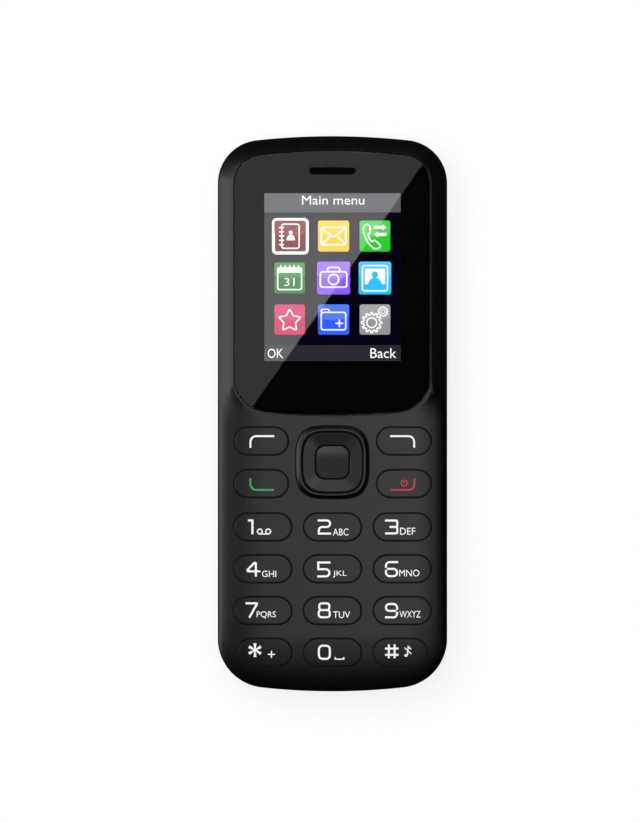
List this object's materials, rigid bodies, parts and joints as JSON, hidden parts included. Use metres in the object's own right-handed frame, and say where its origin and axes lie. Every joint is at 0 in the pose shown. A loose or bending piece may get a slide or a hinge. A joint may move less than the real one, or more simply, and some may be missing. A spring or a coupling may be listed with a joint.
{
  "type": "mobile phone",
  "caption": "Bar-shaped mobile phone with large rounded keys, a rocking navigation key, a glossy display lens and a slide-off battery cover.",
  "frame": {"origin": "middle of the phone on its back, which lies on the surface", "axes": "+X to the phone's right side, +Y towards the earpiece, +Z out of the front"},
  "size_m": [0.0474, 0.115, 0.014],
  "materials": {
    "casing": "satin black plastic",
    "cover": "fine-grained black plastic",
    "key": "satin black plastic with printed marks",
    "gloss_key": "semi-gloss black plastic",
    "lens": "clear glossy acrylic",
    "ink": "black print",
    "foam": "black adhesive foam",
    "mesh": "fine black mesh",
    "steel": "plain",
    "tinned": "matt tinned sheet",
    "contact_metal": "gold plated",
    "display": "display glass",
    "polyimide": "amber film",
    "inner_plastic": "plain moulded",
    "silicone": "matt silicone",
    "board": "green solder mask",
    "battery_wrap": "plain grey film",
    "window": "clear with a dark rim"
  },
  "bodies": {
    "root": {"front_cover": "casing", "display_lens": "lens", "lens_ink_mask": "ink", "lens_adhesive": "foam", "earpiece_mesh": "mesh", "earpiece_speaker": "steel", "lcd_frame": "tinned", "lcd_panel": "display", "display_flex": "polyimide", "nav_bezel": "gloss_key", "keypad_mat": "silicone", "dome_sheet": "steel", "main_board": "board", "rf_shield": "tinned", "rear_housing": "casing", "battery": "battery_wrap", "battery_contacts": "contact_metal", "usb_socket": "steel", "audio_jack": "inner_plastic", "microphone": "steel", "loudspeaker": "inner_plastic", "vibration_motor": "steel", "camera_module": "inner_plastic", "camera_window": "window", "sim_card_holder": "steel", "memory_card_holder": "steel", "antenna": "contact_metal", "screw_upper_left": "steel", "screw_upper_right": "steel", "screw_lower_left": "steel", "screw_lower_right": "steel"},
    "soft_key_left": {"soft_key_left": "key"},
    "soft_key_right": {"soft_key_right": "key"},
    "call_key": {"call_key": "key"},
    "end_key": {"end_key": "key"},
    "key_1": {"key_1": "key"},
    "key_2": {"key_2": "key"},
    "key_3": {"key_3": "key"},
    "key_4": {"key_4": "key"},
    "key_5": {"key_5": "key"},
    "key_6": {"key_6": "key"},
    "key_7": {"key_7": "key"},
    "key_8": {"key_8": "key"},
    "key_9": {"key_9": "key"},
    "key_star": {"key_star": "key"},
    "key_0": {"key_0": "key"},
    "key_hash": {"key_hash": "key"},
    "nav_rocker": {"nav_rocker": "inner_plastic"},
    "nav_ring": {"nav_ring": "gloss_key"},
    "ok_key": {"ok_key": "gloss_key"},
    "battery_cover": {"battery_cover": "cover"},
    "vibration_weight": {"vibration_weight": "tinned"}
  },
  "joints": [
    {"name": "soft_left_press", "type": "slide", "parent": "root", "child": "soft_key_left", "axis": [0, 0, -1], "range_m": [0, 0.00025], "stiffness_N_per_m": 500},
    {"name": "soft_right_press", "type": "slide", "parent": "root", "child": "soft_key_right", "axis": [0, 0, -1], "range_m": [0, 0.00025], "stiffness_N_per_m": 500},
    {"name": "call_press", "type": "slide", "parent": "root", "child": "call_key", "axis": [0, 0, -1], "range_m": [0, 0.00025], "stiffness_N_per_m": 500},
    {"name": "end_press", "type": "slide", "parent": "root", "child": "end_key", "axis": [0, 0, -1], "range_m": [0, 0.00025], "stiffness_N_per_m": 500},
    {"name": "key_1_press", "type": "slide", "parent": "root", "child": "key_1", "axis": [0, 0, -1], "range_m": [0, 0.00025], "stiffness_N_per_m": 500},
    {"name": "key_2_press", "type": "slide", "parent": "root", "child": "key_2", "axis": [0, 0, -1], "range_m": [0, 0.00025], "stiffness_N_per_m": 500},
    {"name": "key_3_press", "type": "slide", "parent": "root", "child": "key_3", "axis": [0, 0, -1], "range_m": [0, 0.00025], "stiffness_N_per_m": 500},
    {"name": "key_4_press", "type": "slide", "parent": "root", "child": "key_4", "axis": [0, 0, -1], "range_m": [0, 0.00025], "stiffness_N_per_m": 500},
    {"name": "key_5_press", "type": "slide", "parent": "root", "child": "key_5", "axis": [0, 0, -1], "range_m": [0, 0.00025], "stiffness_N_per_m": 500},
    {"name": "key_6_press", "type": "slide", "parent": "root", "child": "key_6", "axis": [0, 0, -1], "range_m": [0, 0.00025], "stiffness_N_per_m": 500},
    {"name": "key_7_press", "type": "slide", "parent": "root", "child": "key_7", "axis": [0, 0, -1], "range_m": [0, 0.00025], "stiffness_N_per_m": 500},
    {"name": "key_8_press", "type": "slide", "parent": "root", "child": "key_8", "axis": [0, 0, -1], "range_m": [0, 0.00025], "stiffness_N_per_m": 500},
    {"name": "key_9_press", "type": "slide", "parent": "root", "child": "key_9", "axis": [0, 0, -1], "range_m": [0, 0.00025], "stiffness_N_per_m": 500},
    {"name": "star_press", "type": "slide", "parent": "root", "child": "key_star", "axis": [0, 0, -1], "range_m": [0, 0.00025], "stiffness_N_per_m": 500},
    {"name": "key_0_press", "type": "slide", "parent": "root", "child": "key_0", "axis": [0, 0, -1], "range_m": [0, 0.00025], "stiffness_N_per_m": 500},
    {"name": "hash_press", "type": "slide", "parent": "root", "child": "key_hash", "axis": [0, 0, -1], "range_m": [0, 0.00025], "stiffness_N_per_m": 500},
    {"name": "ok_press", "type": "slide", "parent": "root", "child": "ok_key", "axis": [0, 0, -1], "range_m": [0, 0.00025], "stiffness_N_per_m": 500},
    {"name": "nav_left_right", "type": "hinge", "parent": "root", "child": "nav_rocker", "pos_m": [0, -0.01003, 0.01035], "axis": [0, 1, 0], "range_deg": [-2, 2], "stiffness_Nm_per_rad": 0.2},
    {"name": "nav_up_down", "type": "hinge", "parent": "nav_rocker", "child": "nav_ring", "pos_m": [0, -0.01003, 0.01035], "axis": [1, 0, 0], "range_deg": [-2, 2], "stiffness_Nm_per_rad": 0.2},
    {"name": "battery_cover_slide", "type": "slide", "parent": "root", "child": "battery_cover", "axis": [0, -1, 0], "range_m": [0, 0.088]},
    {"name": "vibration_spin", "type": "hinge", "parent": "root", "child": "vibration_weight", "pos_m": [-0.0091, 0.0335, 0.004], "axis": [1, 0, 0], "continuous": true}
  ]
}
